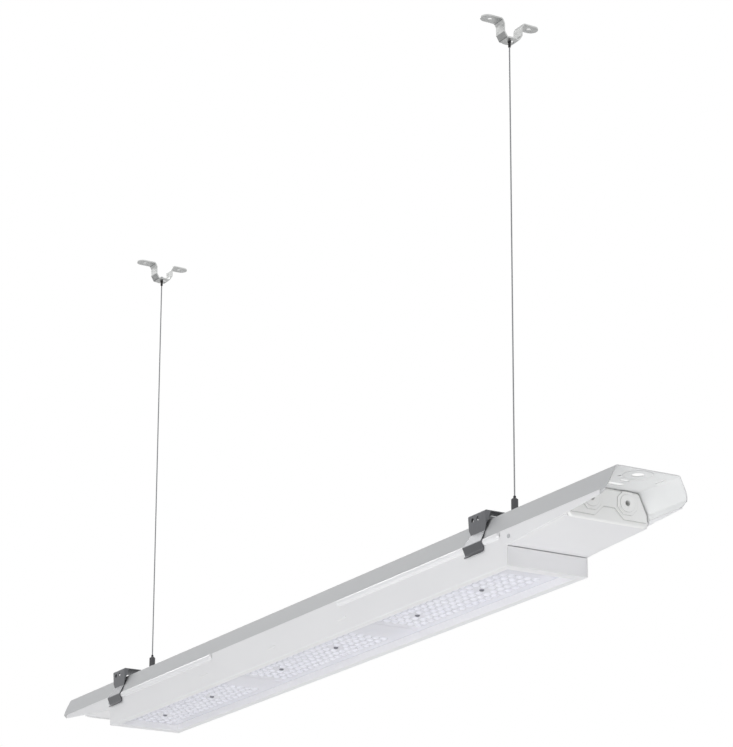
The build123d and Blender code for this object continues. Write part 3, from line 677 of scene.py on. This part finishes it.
studio_floor, tree, shader = surface("studio_floor", {"Roughness": 0.7})
two_tones(tree, shader, noise(tree, 1.5, 2.0), "Fac", "EDEDED", "F4F4F4")
paths = add(tree, "ShaderNodeLightPath", {})
for_camera = add(tree, "ShaderNodeMath", {"operation": "MULTIPLY"}, (paths, "Is Camera Ray", 0))
for_camera.inputs[1].default_value = white_to_camera
for_gloss = add(tree, "ShaderNodeMath", {"operation": "MULTIPLY"}, (paths, "Is Glossy Ray", 0))
for_gloss.inputs[1].default_value = white_to_gloss
share = add(tree, "ShaderNodeMath", {"operation": "MAXIMUM"}, (for_camera, 0, 0), (for_gloss, 0, 1))
white = add(tree, "ShaderNodeEmission", {"Color": colour("FFFFFF"), "Strength": 1.0})
either = add(
    tree, "ShaderNodeMixShader", {}, (share, 0, "Fac"), (shader, "BSDF", 1), (white, "Emission", 2),
)
# From underneath the floor lets everything through, so that the light's underside can be looked at from there.
side = add(tree, "ShaderNodeNewGeometry", {})
clear = add(tree, "ShaderNodeBsdfTransparent", {})
whole = add(
    tree, "ShaderNodeMixShader", {}, (side, "Backfacing", "Fac"), (either, "Shader", 1), (clear, "BSDF", 2),
)
output = next(node for node in tree.nodes if node.type == "OUTPUT_MATERIAL")
tree.links.new(whole.outputs[0], output.inputs["Surface"])
mesh = bpy.data.meshes.new("floor")
corners = ((-1, -1), (1, -1), (1, 1), (-1, 1))
mesh.from_pydata([(x * floor_half, y * floor_half, floor_level) for x, y in corners], [], [(0, 1, 2, 3)])
mesh.materials.append(studio_floor)
floor = bpy.data.objects.new("floor", mesh)
bpy.context.scene.collection.objects.link(floor)

# The surround lights the pieces more from below than from above.
world = bpy.data.worlds.new("studio")
world.use_nodes = True
tree = world.node_tree
tree.nodes.clear()
paths = add(tree, "ShaderNodeLightPath", {})
seen = add(
    tree, "ShaderNodeMath", {"operation": "MAXIMUM"}, (paths, "Is Camera Ray", 0), (paths, "Is Glossy Ray", 1),
)
clear = add(
    tree, "ShaderNodeMath", {"operation": "MAXIMUM"}, (seen, 0, 0), (paths, "Is Transmission Ray", 1),
)
sky = add(tree, "ShaderNodeTexCoord", {})
height = add(tree, "ShaderNodeSeparateXYZ", {}, (sky, "Generated", "Vector"))
dimmer = add(
    tree, "ShaderNodeMapRange", {"From Min": -0.6, "From Max": 0.8, "To Min": 0.72, "To Max": 0.26},
    (height, "Z", "Value"),
)
lit = add(tree, "ShaderNodeBackground", {"Color": colour("F6F7F9")}, (dimmer, "Result", "Strength"))
white = add(tree, "ShaderNodeBackground", {"Color": colour("FFFFFF"), "Strength": 1.0})
either = add(
    tree, "ShaderNodeMixShader", {}, (clear, 0, "Fac"), (lit, "Background", 1), (white, "Background", 2),
)
add(tree, "ShaderNodeOutputWorld", {}, (either, "Shader", "Surface"))
bpy.context.scene.world = world

# Only these lamps show in glossy surfaces, where the others would leave hard white patches.
mirrored_lamps = ("lamp_front", "lamp_above")
# Each lamp's name, its place, the point it is turned to, its width and its power in watts.
for name, spot, aim, size, power in (
    ("lamp_front", (1.3, -3.3, -1.9), (0.0, 0, -0.7), 2.0, 43),
    ("lamp_end", (3.6, 0.2, -1.6), (0.7, 0, -0.7), 1.5, 12.5),
    ("lamp_below", (0.6, -0.6, -2.3), (0.1, 0, -0.7), 2.4, 13.5),
    ("lamp_above", (-4.1, -0.1, 2.2), (0.3, 0, -0.7), 1.6, 28),
    ("lamp_far", (-1.7, -0.6, 1.9), (-0.6, 0, -0.7), 1.2, 22),
    ("lamp_back", (-0.3, 2.2, 0.6), (0.0, 0, -0.7), 1.8, 42),
):
    lamp_data = bpy.data.lights.new(name, "AREA")
    lamp_data.size = size
    lamp_data.energy = power
    lamp = bpy.data.objects.new(name, lamp_data)
    lamp.location = spot
    lamp.rotation_euler = (Vector(aim) - Vector(spot)).to_track_quat("-Z", "Y").to_euler()
    lamp.visible_camera = False
    lamp.visible_glossy = name in mirrored_lamps
    bpy.context.scene.collection.objects.link(lamp)

bpy.context.scene.view_settings.view_transform = "Standard"
